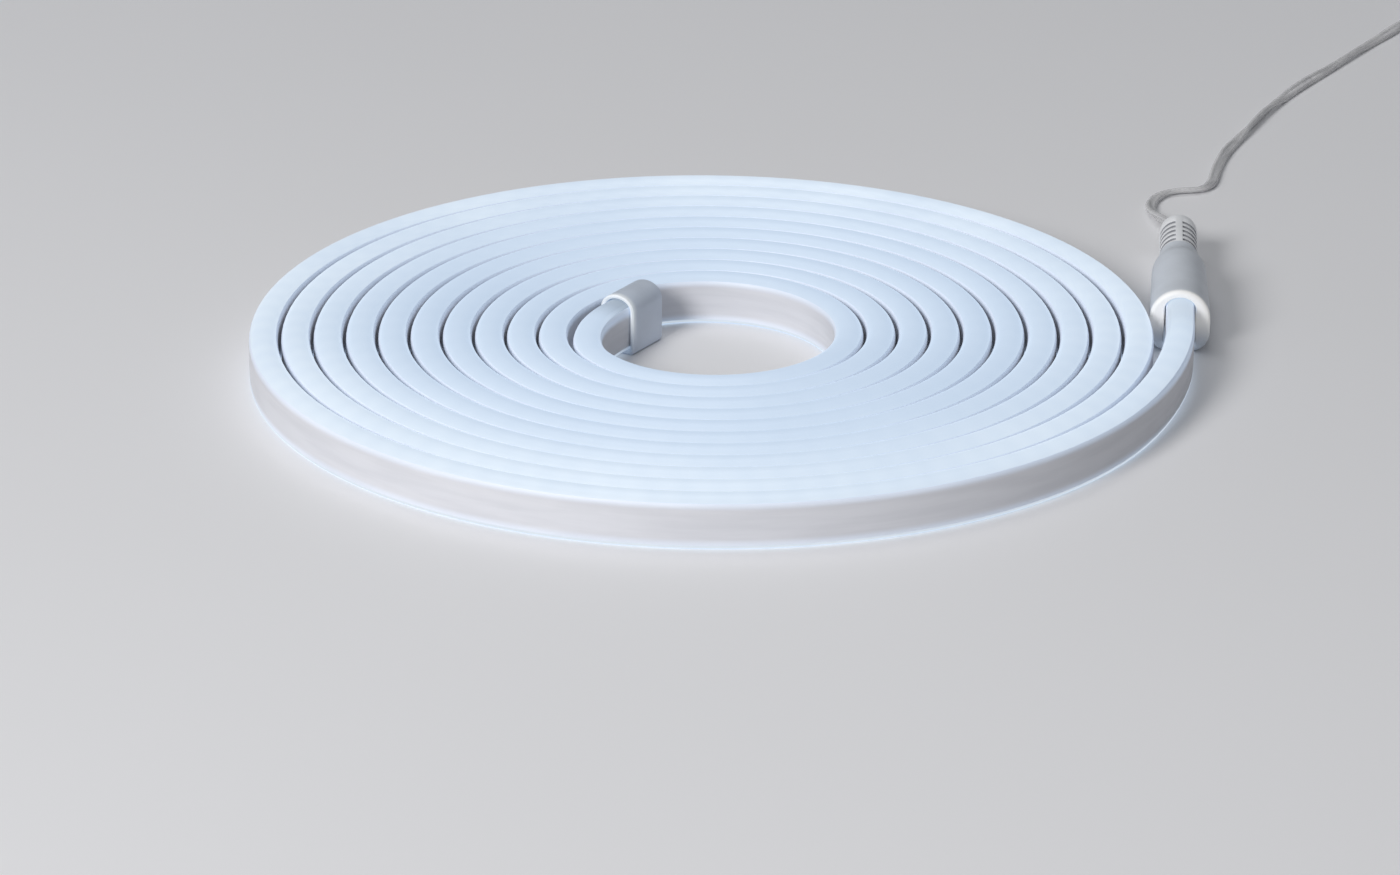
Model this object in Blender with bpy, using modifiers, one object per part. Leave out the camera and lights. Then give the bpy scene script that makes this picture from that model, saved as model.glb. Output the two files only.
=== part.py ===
"""Neon flex strip: a soft lit strip wound flat, capped at its inner end and wired at its outer end.

Lengths are in metres. +Z is up and the strip lies on Z = 0. Seen from above, the strip leaves the end cap
inside the eye and winds outwards counter-clockwise, until it runs off along +Y into the power housing.
"""
import bpy
import bmesh
from math import atan2, cos, pi, radians, sin, tau
from mathutils import Matrix, Vector

MM = 0.001

# Strip: one co-extrusion with a narrow upright channel for the flexible circuit
STRIP_WIDTH = 7.4 * MM
STRIP_HEIGHT = 13.2 * MM
STRIP_DOME = 2.8 * MM
STRIP_CORNER = 1.0 * MM
CHANNEL_WIDTH = 1.6 * MM
CHANNEL_HEIGHT = 7.0 * MM
CHANNEL_CENTRE = 6.0 * MM

# Winding: radius of the eye's wall, and how far that wall is moved and flattened
EYE_RADIUS = 28.9 * MM
EYE_SKEW = 0.5 * MM
EYE_SHIFT = 5.0 * MM
EYE_OVAL = 1.2 * MM
# Air between neighbouring turns: widest at the back, almost closed at the front
GAP_MEAN = 0.80 * MM
GAP_SWAY = 0.50 * MM
GAP_OVAL = 0.12 * MM
STEPS_PER_TURN = 32
FIRST_STEP = 14
LAST_STEP = 352
TUCK_SPAN = radians(60)
LEAVE_SPAN = radians(35)

# Fits: gap kept between pieces that seat in each other
FIT = 0.3 * MM

# End cap over the inner end
CAP_WALL = 1.0 * MM
CAP_DEPTH = 12.5 * MM
CAP_END_WALL = 2.0 * MM
CAP_CLEARANCE = 1.9 * MM

# Power housing over the outer end
HOUSING_WIDTH = 15.8 * MM
HOUSING_FLOOR = 1.0 * MM
HOUSING_ROOF = 1.9 * MM
HOUSING_LENGTH = 48.0 * MM
HOUSING_CORNER = 5.0 * MM
# How far the turn beside it has bent away by the time that the housing starts
MOUTH_SPREAD = 0.8 * MM
NECK_WIDTH = 10.8 * MM
NECK_HEIGHT = 12.6 * MM
NECK_CORNER = 3.0 * MM
SHOULDER_RUN = 11.0 * MM
MOUTH_RUN = 12.5 * MM
STRIP_INSERT = 12.0 * MM
CHAMBER_LENGTH = 15.0 * MM
CHAMBER_WIDTH = 5.2 * MM
CHAMBER_HEIGHT = 8.4 * MM

# Strain relief behind the housing
RELIEF_LENGTH = 25.0 * MM
RELIEF_WIDTH = 10.2 * MM
RELIEF_HEIGHT = 11.2 * MM
SPIGOT_RADIUS = 3.0 * MM
SPIGOT_LENGTH = 5.0 * MM
SLOT_COUNT = 5
SLOT_WIDTH = 1.5 * MM
SLOT_PITCH = 3.4 * MM
SLOT_START = 2.8 * MM
SLOT_SIDE_DEPTH = 1.8 * MM
SLOT_TOP_DEPTH = 2.2 * MM
RIDGE_WIDTH = 2.0 * MM

# Flexible circuit, its two contact pins and their block
RIBBON_TAIL = 6.0 * MM
PIN_RADIUS = 0.45 * MM
PIN_LENGTH = 10.0 * MM
PIN_SPACING = 3.6 * MM
BLOCK_LENGTH = 4.0 * MM
BLOCK_WIDTH = 4.4 * MM
BLOCK_HEIGHT = 7.6 * MM

# Lead: clear twin wire, its plain round equivalent, and the coil of its spare length
LEAD_RADIUS = 1.2 * MM
LEAD_POINT_STEP = 6.0 * MM
COIL_RADIUS = 18.0 * MM
COIL_BAND = 8.0 * MM
COIL_HEIGHT = 7.4 * MM
TIE_WALL = 0.8 * MM
TIE_WIDTH = 4.0 * MM

# Low-voltage plug on the lead's far end
PLUG_RADIUS = 4.8 * MM
PLUG_LENGTH = 24.0 * MM
BOOT_LENGTH = 13.0 * MM
BOOT_RADIUS = 3.6 * MM
BOOT_TIP_RADIUS = 2.2 * MM
BARREL_RADIUS = 2.75 * MM
BARREL_WALL = 0.4 * MM
BARREL_REACH = 9.5 * MM
BARREL_SEAT = 5.0 * MM
INSULATOR_WALL = 0.4 * MM
CONTACT_BORE_RADIUS = 1.05 * MM

# The lead's way over the table, from the winding's centre: out of the boot, one small loop, then away
LEAD_WAY = [
    (128.6, 98.0, 5.0), (126.9, 106.5, 3.2), (124.9, 115.0, 1.7), (124.4, 122.5, 1.2), (125.7, 129.8, 1.2),
    (128.9, 135.8, 1.2), (133.2, 138.0, 1.2), (137.4, 136.8, 1.2), (141.2, 138.2, 1.2), (143.8, 144.4, 1.2),
    (146.8, 158.7, 1.2), (151.9, 175.8, 1.2), (160.7, 197.1, 1.2), (170.4, 219.0, 1.2), (184.6, 243.5, 1.2),
    (204.3, 276.1, 1.2), (216.4, 293.9, 1.2), (221.9, 304.5, 2.2),
]
COIL_PLACE = (247.0, 312.0)
COIL_ENTRY = radians(172)
COIL_EXIT = radians(150)
TAIL_WAY = [(228.9, 330.4, 1.8), (232.4, 338.2, 3.4)]
PLUG_PLACE = (267.0, 348.0)
PLUG_HEADING = radians(8)


def clear_scene():
    for item in list(bpy.data.objects):
        bpy.data.objects.remove(item)
    for group in list(bpy.data.collections):
        bpy.data.collections.remove(group)


def collection(name):
    group = bpy.data.collections.new(name)
    bpy.context.scene.collection.children.link(group)
    return group


def material(name, colour, roughness, metallic=0.0, alpha=1.0):
    mat = bpy.data.materials.new(name)
    mat.use_nodes = True
    shader = mat.node_tree.nodes["Principled BSDF"]
    shader.inputs["Base Color"].default_value = (*colour, 1.0)
    shader.inputs["Roughness"].default_value = roughness
    shader.inputs["Metallic"].default_value = metallic
    shader.inputs["Alpha"].default_value = alpha
    mat.diffuse_color = (*colour, alpha)
    return mat


def place(obj, group, mat=None, smooth=30):
    """Link an object, give it its material and shade its round parts smooth."""
    group.objects.link(obj)
    obj.parent = ROOT
    if mat:
        obj.data.materials.append(mat)
    if obj.type == "MESH":
        obj.data.shade_smooth()
        obj.data.set_sharp_from_angle(angle=radians(smooth))
    return obj


def as_cutter(obj):
    obj.hide_render = True
    obj.display_type = "WIRE"
    return obj


def cut(obj, cutter):
    step = obj.modifiers.new("cut_" + cutter.name, "BOOLEAN")
    step.operation = "DIFFERENCE"
    step.solver = "EXACT"
    step.object = cutter


def frame_at(point, heading):
    """Matrix whose local +Y runs along the heading and whose local +Z is up."""
    return Matrix.Translation(point) @ Matrix.Rotation(heading - pi / 2, 4, "Z")


def turn_gap(angle):
    return GAP_MEAN + GAP_SWAY * sin(angle) + GAP_OVAL * cos(2 * angle)


def eye_wall(angle):
    return EYE_RADIUS + EYE_SKEW * cos(angle) - EYE_SHIFT * sin(angle) - EYE_OVAL * cos(2 * angle)


def ramp(value):
    return min(max(value, 0.0), 1.0)


def ease(value):
    value = ramp(value)
    return value * value * (3 - 2 * value)


FIRST_ANGLE = FIRST_STEP * tau / STEPS_PER_TURN
LAST_ANGLE = LAST_STEP * tau / STEPS_PER_TURN
SHORT_STEP = radians(0.2)
# The inner end bends in to make room for the cap, and the outer end bends out for the housing
TUCK = FIT + CAP_WALL + CAP_CLEARANCE
LEAVE = (HOUSING_WIDTH - STRIP_WIDTH) / 2 - turn_gap(0.0) - MOUTH_SPREAD
CAP_LIFT = CAP_WALL + FIT
HOUSING_LIFT = HOUSING_FLOOR + FIT


def winding(angle):
    """Point on the strip's centre line, at the height of its underside."""
    turns = (angle - pi) / tau
    radius = eye_wall(angle) + STRIP_WIDTH / 2 + turns * (STRIP_WIDTH + turn_gap(angle))
    tuck = ramp((FIRST_ANGLE + TUCK_SPAN - angle) / TUCK_SPAN)
    leave = ramp((angle - LAST_ANGLE + LEAVE_SPAN) / LEAVE_SPAN)
    radius += LEAVE * leave ** 2 - TUCK * ease(tuck)
    height = CAP_LIFT * ease(1.25 * tuck) + HOUSING_LIFT * ease(1.25 * leave)
    return Vector((radius * cos(angle), radius * sin(angle), height))


def heading(start, end):
    way = winding(end) - winding(start)
    return atan2(way.y, way.x)


def along(start, heading, distance):
    return start + distance * Vector((cos(heading), sin(heading), 0.0))


CAP_MOUTH = winding(FIRST_ANGLE)
CAP_HEADING = heading(FIRST_ANGLE + SHORT_STEP, FIRST_ANGLE)
LEAVING_POINT = winding(LAST_ANGLE)
HOUSING_HEADING = heading(LAST_ANGLE - SHORT_STEP, LAST_ANGLE)
HOUSING_MOUTH = along(LEAVING_POINT, HOUSING_HEADING, MOUTH_RUN)
HOUSING_HEIGHT = HOUSING_LIFT + STRIP_HEIGHT + FIT + HOUSING_ROOF
AXIS_HEIGHT = HOUSING_LIFT + CHANNEL_CENTRE


def strip_line(inner_reach, outer_reach):
    """Centre line from inside the cap to inside the housing, with straight ends of the given lengths."""
    points = [along(CAP_MOUTH, CAP_HEADING, inner_reach)]
    points += [winding(i * tau / STEPS_PER_TURN) for i in range(FIRST_STEP, LAST_STEP + 1)]
    points.append(along(LEAVING_POINT, HOUSING_HEADING, MOUTH_RUN + outer_reach))
    return points


def curve_object(name, points, closed=False):
    data = bpy.data.curves.new(name, "CURVE")
    data.dimensions = "3D"
    data.resolution_u = 1
    data.render_resolution_u = 0
    data.twist_mode = "Z_UP"
    spline = data.splines.new("POLY")
    spline.points.add(len(points) - 1)
    for slot, point in zip(spline.points, points):
        slot.co = (*point, 1.0)
    spline.use_cyclic_u = closed
    return bpy.data.objects.new(name, data)


def curve_to_mesh(obj, name):
    """Closed mesh of a swept curve, with its loose caps welded on."""
    bpy.context.scene.collection.objects.link(obj)
    bpy.context.view_layer.update()
    mesh = bpy.data.meshes.new_from_object(obj.evaluated_get(bpy.context.evaluated_depsgraph_get()))
    bm = bmesh.new()
    bm.from_mesh(mesh)
    bmesh.ops.remove_doubles(bm, verts=bm.verts, dist=0.000001)
    bmesh.ops.recalc_face_normals(bm, faces=bm.faces)
    bm.to_mesh(mesh)
    bm.free()
    bpy.data.objects.remove(obj)
    mesh.name = name
    return bpy.data.objects.new(name, mesh)


def swept(name, line, section):
    """Sweep a closed section, given as (across, up) pairs, along a line."""
    outline = curve_object(name + "_section", [(x, z, 0.0) for x, z in section], closed=True)
    bpy.context.scene.collection.objects.link(outline)
    path = curve_object(name + "_path", line)
    path.data.bevel_mode = "OBJECT"
    path.data.bevel_object = outline
    path.data.use_fill_caps = True
    body = curve_to_mesh(path, name)
    bpy.data.objects.remove(outline)
    return body


def plain_box(width, bottom, top):
    return [(width / 2, bottom), (width / 2, top), (-width / 2, top), (-width / 2, bottom)]


def arch(width, bottom, top, corner, dome=None, steps=8, corner_steps=3):
    """Upright outline of (across, up) pairs with a round top and small round lower corners."""
    half = width / 2
    dome = dome or half
    points = [(half * cos(pi * i / steps), top - dome + dome * sin(pi * i / steps)) for i in range(steps + 1)]
    for side, first in ((-1, pi), (1, 1.5 * pi)):
        for i in range(corner_steps + 1):
            turn = first + i * pi / 2 / corner_steps
            points.append((side * (half - corner) + corner * cos(turn), bottom + corner + corner * sin(turn)))
    return points


def strip_outline(grow=0.0, lift=0.0):
    """The strip's own section, or the same outline standing off it by the given distance."""
    return arch(STRIP_WIDTH + 2 * grow, lift - grow, lift + STRIP_HEIGHT + grow, STRIP_CORNER,
                STRIP_DOME + grow, steps=4, corner_steps=1)


def lofted(name, stations):
    """Solid through like outlines: each station is (distance along +Y, outline of (across, up) pairs)."""
    bm = bmesh.new()
    last = None
    for y, outline in stations:
        ring = [bm.verts.new((x, y, z)) for x, z in outline]
        loop = [bm.edges.new((p, q)) for p, q in zip(ring, ring[1:] + ring[:1])]
        if last:
            bmesh.ops.bridge_loops(bm, edges=last + loop)
        else:
            bm.faces.new(ring)
        last = loop
    bm.faces.new(ring)
    bmesh.ops.recalc_face_normals(bm, faces=bm.faces)
    mesh = bpy.data.meshes.new(name)
    bm.to_mesh(mesh)
    bm.free()
    return bpy.data.objects.new(name, mesh)


def box(name, size, centre):
    bm = bmesh.new()
    bmesh.ops.create_cube(bm, size=1.0, matrix=Matrix.Translation(centre) @ Matrix.Diagonal((*size, 1.0)))
    mesh = bpy.data.meshes.new(name)
    bm.to_mesh(mesh)
    bm.free()
    return bpy.data.objects.new(name, mesh)


def rod(name, radius, start, end, height, segments=12):
    """Round bar along local Y, from start to end at the given height."""
    bm = bmesh.new()
    lie = Matrix.Translation((0, (start + end) / 2, height)) @ Matrix.Rotation(pi / 2, 4, "X")
    bmesh.ops.create_cone(bm, cap_ends=True, segments=segments, radius1=radius, radius2=radius,
                          depth=end - start, matrix=lie)
    mesh = bpy.data.meshes.new(name)
    bm.to_mesh(mesh)
    bm.free()
    return bpy.data.objects.new(name, mesh)


def turned(name, profile, steps=20):
    """Closed (radius, height) profile, listed down its outer side, turned about local Z."""
    mesh = bpy.data.meshes.new(name)
    edges = [(i, (i + 1) % len(profile)) for i in range(len(profile))]
    mesh.from_pydata([(r, 0.0, z) for r, z in profile], edges, [])
    obj = bpy.data.objects.new(name, mesh)
    spin = obj.modifiers.new("turn", "SCREW")
    spin.axis = "Z"
    spin.angle = tau
    spin.steps = steps
    spin.render_steps = steps
    spin.use_merge_vertices = True
    spin.merge_threshold = 0.000001
    spin.use_smooth_shade = True
    return obj


def tube(name, line, radius, group, mat):
    obj = curve_object(name, line)
    obj.data.bevel_depth = radius
    obj.data.bevel_resolution = 2
    obj.data.use_fill_caps = True
    return place(obj, group, mat)


def smooth_line(points, step):
    """Even points, about a step apart, on a smooth curve through the given ones, none below the table."""
    ends = [2 * points[0] - points[1], *points, 2 * points[-1] - points[-2]]
    fine = []
    for a, b, c, d in zip(ends, ends[1:], ends[2:], ends[3:]):
        for i in range(24):
            t = i / 24
            fine.append(0.5 * (2 * b + (c - a) * t + (2 * a - 5 * b + 4 * c - d) * t ** 2
                               + (3 * b - a - 3 * c + d) * t ** 3))
    fine.append(points[-1])
    total = sum((q - p).length for p, q in zip(fine, fine[1:]))
    count = max(2, round(total / step))
    line, walked, target = [fine[0]], 0.0, total / count
    for p, q in zip(fine, fine[1:]):
        span = (q - p).length
        while walked + span >= target - 1e-9 and len(line) < count:
            line.append(p.lerp(q, (target - walked) / span))
            target += total / count
        walked += span
    line.append(fine[-1])
    for point in line:
        point.z = max(point.z, LEAD_RADIUS)
    return line


def lay(obj, frame):
    """Set a piece that was modelled along local +Y into its place on the winding."""
    obj.matrix_basis = frame
    return obj


clear_scene()
PARTS = collection("neon_flex_strip")
CUTTERS = collection("cutters")
ROOT = bpy.data.objects.new("winding_centre", None)
bpy.context.scene.collection.objects.link(ROOT)

SILICONE = material("lit_silicone", (0.86, 0.91, 0.97), 0.45)
CIRCUIT = material("circuit_film", (0.80, 0.72, 0.50), 0.5)
CAP_SILICONE = material("cap_silicone", (0.62, 0.65, 0.70), 0.5)
MOULDING = material("white_moulding", (0.78, 0.80, 0.84), 0.4)
BLOCK_PLASTIC = material("block_plastic", (0.85, 0.84, 0.80), 0.5)
BRASS = material("brass", (0.75, 0.60, 0.32), 0.3, 1.0)
NICKEL = material("nickel", (0.75, 0.75, 0.73), 0.25, 1.0)
CLEAR_LEAD = material("clear_lead", (0.72, 0.72, 0.72), 0.3)
PALE_TIE = material("tie_plastic", (0.80, 0.80, 0.80), 0.5)
DARK_PLASTIC = material("dark_plastic", (0.03, 0.03, 0.03), 0.4)


def build_strip():
    jacket = swept("neon_jacket", strip_line(CAP_DEPTH, STRIP_INSERT), strip_outline())
    place(jacket, PARTS, SILICONE)
    low, high = CHANNEL_CENTRE - CHANNEL_HEIGHT / 2, CHANNEL_CENTRE + CHANNEL_HEIGHT / 2
    channel = swept("channel_cutter", strip_line(CAP_DEPTH + 2 * FIT, STRIP_INSERT + 2 * FIT),
                    plain_box(CHANNEL_WIDTH, low, high))
    place(channel, CUTTERS)
    cut(jacket, as_cutter(channel))
    ribbon = swept("led_ribbon", strip_line(CAP_DEPTH - FIT, STRIP_INSERT + RIBBON_TAIL),
                   plain_box(CHANNEL_WIDTH - 2 * FIT, low + FIT, high - FIT))
    place(ribbon, PARTS, CIRCUIT)


def build_cap():
    length = CAP_DEPTH + FIT + CAP_END_WALL
    edge = 0.8 * CAP_END_WALL
    body = strip_outline(FIT + CAP_WALL, CAP_LIFT)
    far = strip_outline(FIT + CAP_WALL - 0.6 * edge, CAP_LIFT)
    cap = lofted("end_cap", [(0.0, body), (length - edge, body), (length, far)])
    ground = Vector((CAP_MOUTH.x, CAP_MOUTH.y, 0.0))
    lay(place(cap, PARTS, CAP_SILICONE), frame_at(ground, CAP_HEADING))
    bore = strip_outline(FIT, CAP_LIFT)
    pocket = lofted("cap_pocket", [(-1.0 * MM, bore), (CAP_DEPTH + FIT, bore)])
    lay(place(pocket, CUTTERS), frame_at(ground, CAP_HEADING))
    cut(cap, as_cutter(pocket))


def housing_frame():
    ground = Vector((HOUSING_MOUTH.x, HOUSING_MOUTH.y, 0.0))
    return frame_at(ground, HOUSING_HEADING)


def build_housing():
    frame = housing_frame()
    rim = 0.8 * MM
    neck_low = AXIS_HEIGHT - NECK_HEIGHT / 2
    shoulder = HOUSING_LENGTH - SHOULDER_RUN
    mouth = arch(HOUSING_WIDTH, 0.0, HOUSING_HEIGHT, HOUSING_CORNER)
    lip = arch(HOUSING_WIDTH - rim, rim / 2, HOUSING_HEIGHT - rim / 2, HOUSING_CORNER - rim / 2)
    waist = arch(HOUSING_WIDTH - 1.2 * MM, 0.0, HOUSING_HEIGHT - 0.6 * MM, HOUSING_CORNER)
    slope = arch((HOUSING_WIDTH + NECK_WIDTH) / 2, neck_low / 2, (HOUSING_HEIGHT + neck_low + NECK_HEIGHT) / 2,
                 (HOUSING_CORNER + NECK_CORNER) / 2)
    neck = arch(NECK_WIDTH, neck_low, neck_low + NECK_HEIGHT, NECK_CORNER)
    housing = lofted("power_housing", [
        (0.0, lip), (rim, mouth), (shoulder, waist), (shoulder + 0.6 * SHOULDER_RUN, slope),
        (HOUSING_LENGTH - 2.0 * MM, neck), (HOUSING_LENGTH, neck),
    ])
    lay(place(housing, PARTS, MOULDING), frame)

    socket = strip_outline(FIT, HOUSING_LIFT)
    pocket = lofted("strip_pocket", [(-1.0 * MM, socket), (STRIP_INSERT + FIT, socket)])
    chamber = box("pin_chamber", (CHAMBER_WIDTH, CHAMBER_LENGTH + FIT, CHAMBER_HEIGHT),
                  (0.0, STRIP_INSERT + (CHAMBER_LENGTH + FIT) / 2, AXIS_HEIGHT))
    lead_bore = rod("housing_bore", LEAD_RADIUS + FIT, STRIP_INSERT + CHAMBER_LENGTH - 1.0 * MM,
                    HOUSING_LENGTH + 1.0 * MM, AXIS_HEIGHT)
    spigot_bore = rod("spigot_bore", SPIGOT_RADIUS + FIT, HOUSING_LENGTH - SPIGOT_LENGTH - FIT,
                      HOUSING_LENGTH + 1.0 * MM, AXIS_HEIGHT, 16)
    for cutter in (pocket, chamber, lead_bore, spigot_bore):
        lay(place(cutter, CUTTERS), frame)
        cut(housing, as_cutter(cutter))


def build_contacts():
    frame = housing_frame()
    block_start = STRIP_INSERT + CHAMBER_LENGTH - BLOCK_LENGTH
    block = box("contact_block", (BLOCK_WIDTH, BLOCK_LENGTH, BLOCK_HEIGHT),
                (0.0, block_start + BLOCK_LENGTH / 2, AXIS_HEIGHT))
    lay(place(block, PARTS, BLOCK_PLASTIC), frame)
    side = CHANNEL_WIDTH / 2 - FIT + FIT + PIN_RADIUS
    for name, height in (("contact_pin_upper", PIN_SPACING / 2), ("contact_pin_lower", -PIN_SPACING / 2)):
        bore = rod(name + "_bore", PIN_RADIUS + FIT, block_start - 1.0 * MM, block_start + BLOCK_LENGTH + 1.0 * MM,
                   AXIS_HEIGHT + height)
        pin = rod(name, PIN_RADIUS, block_start + BLOCK_LENGTH - PIN_LENGTH, block_start + BLOCK_LENGTH,
                  AXIS_HEIGHT + height)
        for piece, group, mat in ((bore, CUTTERS, None), (pin, PARTS, BRASS)):
            lay(place(piece, group, mat), frame @ Matrix.Translation((side, 0, 0)))
        cut(block, as_cutter(bore))
    entry = rod("lead_entry", LEAD_RADIUS, block_start + BLOCK_LENGTH + FIT,
                HOUSING_LENGTH + RELIEF_LENGTH, AXIS_HEIGHT)
    lay(place(entry, PARTS, CLEAR_LEAD), frame)


def build_relief():
    frame = housing_frame()
    low = AXIS_HEIGHT - RELIEF_HEIGHT / 2
    start, end = HOUSING_LENGTH + FIT, HOUSING_LENGTH + RELIEF_LENGTH
    edge = 2.2 * MM
    body = arch(RELIEF_WIDTH, low, low + RELIEF_HEIGHT, 2.0 * MM)
    bend = arch(RELIEF_WIDTH - 0.5 * edge, low + 0.25 * edge, low + RELIEF_HEIGHT - 0.25 * edge, 1.8 * MM)
    tip = arch(RELIEF_WIDTH - 2 * edge, low + edge, low + RELIEF_HEIGHT - edge, 1.2 * MM)
    relief = lofted("strain_relief", [(start, body), (end - edge, body), (end - 0.3 * edge, bend), (end, tip)])
    lay(place(relief, PARTS, MOULDING), frame)
    spigot = rod("relief_spigot", SPIGOT_RADIUS, HOUSING_LENGTH - SPIGOT_LENGTH, start + 2.0 * MM, AXIS_HEIGHT, 16)
    lay(place(spigot, CUTTERS), frame)
    joined = relief.modifiers.new("spigot", "BOOLEAN")
    joined.operation = "UNION"
    joined.solver = "EXACT"
    joined.object = as_cutter(spigot)
    bore = rod("relief_bore", LEAD_RADIUS + FIT, HOUSING_LENGTH - SPIGOT_LENGTH - 1.0 * MM, end + 1.0 * MM, AXIS_HEIGHT)
    lay(place(bore, CUTTERS), frame)
    cut(relief, as_cutter(bore))

    # Slots run down over each shoulder of the boot and leave a ridge along its top and a core around the lead
    half, high = RELIEF_WIDTH / 2, low + RELIEF_HEIGHT
    out = 3.0 * MM
    profile = [(RIDGE_WIDTH / 2, high + out), (RIDGE_WIDTH / 2, high - SLOT_TOP_DEPTH),
               (half - SLOT_SIDE_DEPTH, high - SLOT_TOP_DEPTH), (half - SLOT_SIDE_DEPTH, low + 0.25 * RELIEF_HEIGHT),
               (half + out, low + 0.25 * RELIEF_HEIGHT), (half + out, high + out)]
    first = start + SLOT_START
    for i in range(SLOT_COUNT):
        for side, word in ((1, "right"), (-1, "left")):
            at = first + i * SLOT_PITCH
            outline = [(side * x, z) for x, z in profile]
            slot = lofted(f"slot_{word}_{i + 1}", [(at, outline), (at + SLOT_WIDTH, outline)])
            lay(place(slot, CUTTERS), frame)
            cut(relief, as_cutter(slot))


def build_lead():
    """The free lead, the ring that its spare length fills, the tie and the plug, all lying on the table."""
    exit_point = along(HOUSING_MOUTH, HOUSING_HEADING, HOUSING_LENGTH + RELIEF_LENGTH + FIT)
    exit_point.z = AXIS_HEIGHT
    out = exit_point + 5.0 * MM * Vector((cos(HOUSING_HEADING), sin(HOUSING_HEADING), -0.12))
    way = [Vector(p) * MM for p in LEAD_WAY]
    for point in way:
        point.z = max(point.z, LEAD_RADIUS)
    ring = Vector((*COIL_PLACE, 0.0)) * MM
    outer = COIL_RADIUS + COIL_BAND / 2
    bottom = TIE_WALL + FIT
    coil_in = along(ring, COIL_ENTRY, outer + LEAD_RADIUS + FIT)
    coil_in.z = bottom + 0.4 * COIL_HEIGHT
    line = smooth_line([exit_point, out, *way, coil_in], LEAD_POINT_STEP)
    tube("lead_cord", line, LEAD_RADIUS, PARTS, CLEAR_LEAD)

    round_off = 1.6 * MM
    inner = COIL_RADIUS - COIL_BAND / 2
    top = bottom + COIL_HEIGHT
    coil = turned("lead_coil", [
        (inner + round_off, top), (outer - round_off, top), (outer, top - round_off), (outer, bottom + round_off),
        (outer - round_off, bottom), (inner + round_off, bottom), (inner, bottom + round_off),
        (inner, top - round_off),
    ], 24)
    coil.location = ring
    place(coil, PARTS, CLEAR_LEAD)

    # The tie is a short band round the ring's section, at the ring's back
    across = COIL_BAND + 2 * (FIT + TIE_WALL)
    tie_height = COIL_HEIGHT + 2 * (FIT + TIE_WALL)
    at = Matrix.Translation(ring) @ Matrix.Rotation(-pi / 2, 4, "Z") @ Matrix.Translation((COIL_RADIUS, 0.0, 0.0))
    tie = box("coil_tie", (across, TIE_WIDTH, tie_height), (0.0, 0.0, tie_height / 2))
    hole = box("tie_hole", (across - 2 * TIE_WALL + 0.6 * MM, 2 * TIE_WIDTH, tie_height - 2 * TIE_WALL),
               (0.0, 0.0, tie_height / 2))
    lay(place(tie, PARTS, PALE_TIE), at)
    lay(place(hole, CUTTERS), at)
    cut(tie, as_cutter(hole))
    return ring, outer


def build_plug(ring, outer):
    """Barrel plug with its axis along local Z, laid down so that the barrel points away from the coil."""
    nose = Vector((*PLUG_PLACE, 0.0)) * MM
    nose.z = PLUG_RADIUS
    lie = frame_at(nose, PLUG_HEADING) @ Matrix.Rotation(-pi / 2, 4, "X")
    soft = 0.8 * MM
    seat = BARREL_RADIUS + FIT
    half = PLUG_LENGTH / 2
    body = turned("plug_body", [
        (seat, half), (PLUG_RADIUS - soft, half), (PLUG_RADIUS, half - soft), (PLUG_RADIUS, soft - half),
        (PLUG_RADIUS - soft, -half), (LEAD_RADIUS + FIT, -half), (LEAD_RADIUS + FIT, -half + 4.0 * MM),
        (0.0, -half + 4.0 * MM), (0.0, half - BARREL_SEAT - FIT), (seat, half - BARREL_SEAT - FIT),
    ])
    front, back = half + BARREL_REACH, half - BARREL_SEAT

    def sleeve(name, outer_radius, wall, tip, mat):
        piece = turned(name, [(outer_radius - wall, tip), (outer_radius, tip), (outer_radius, back),
                              (outer_radius - wall, back)], 16)
        lay(place(piece, PARTS, mat), lie)

    lay(place(body, PARTS, DARK_PLASTIC), lie)
    sleeve("plug_barrel", BARREL_RADIUS, BARREL_WALL, front, NICKEL)
    insulator = BARREL_RADIUS - BARREL_WALL - FIT
    sleeve("plug_insulator", insulator, INSULATOR_WALL, front - 0.4 * MM, DARK_PLASTIC)
    contact = insulator - INSULATOR_WALL - FIT
    sleeve("plug_contact", contact, contact - CONTACT_BORE_RADIUS, front - 1.0 * MM, BRASS)

    boot_top, boot_end = -half - FIT, -half - FIT - BOOT_LENGTH
    boot = turned("plug_boot", [
        (LEAD_RADIUS + FIT, boot_top), (BOOT_RADIUS, boot_top), (BOOT_RADIUS, boot_top - 3.0 * MM),
        (BOOT_TIP_RADIUS, boot_end), (LEAD_RADIUS + FIT, boot_end),
    ])
    lay(place(boot, PARTS, DARK_PLASTIC), lie)

    # The lead's last stretch climbs from the coil to the plug and runs through the boot into the body
    coil_out = along(ring, COIL_EXIT, outer + LEAD_RADIUS + FIT)
    coil_out.z = TIE_WALL + FIT + 0.3 * COIL_HEIGHT
    way = [Vector(p) * MM for p in TAIL_WAY]
    before, mouth, inside = (along(nose, PLUG_HEADING, reach)
                             for reach in (boot_end - 4.0 * MM, boot_end, 3.0 * MM - half))
    line = smooth_line([coil_out, *way, before, mouth, inside], LEAD_POINT_STEP / 2)
    tube("lead_tail", line, LEAD_RADIUS, PARTS, CLEAR_LEAD)


def centre_on_origin():
    """Move everything so that the strip and its fittings, without the free lead, stand over the origin."""
    free = ("lead_cord", "lead_coil", "coil_tie", "lead_tail", "plug_")
    bpy.context.view_layer.update()
    graph = bpy.context.evaluated_depsgraph_get()
    corners = []
    for obj in PARTS.objects:
        if obj.name.startswith(free):
            continue
        mesh = obj.evaluated_get(graph).to_mesh()
        corners += [obj.matrix_world @ v.co for v in mesh.vertices]
        obj.evaluated_get(graph).to_mesh_clear()
    xs, ys = [c.x for c in corners], [c.y for c in corners]
    ROOT.location = (-(min(xs) + max(xs)) / 2, -(min(ys) + max(ys)) / 2, -min(c.z for c in corners))
    bpy.context.view_layer.update()


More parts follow.
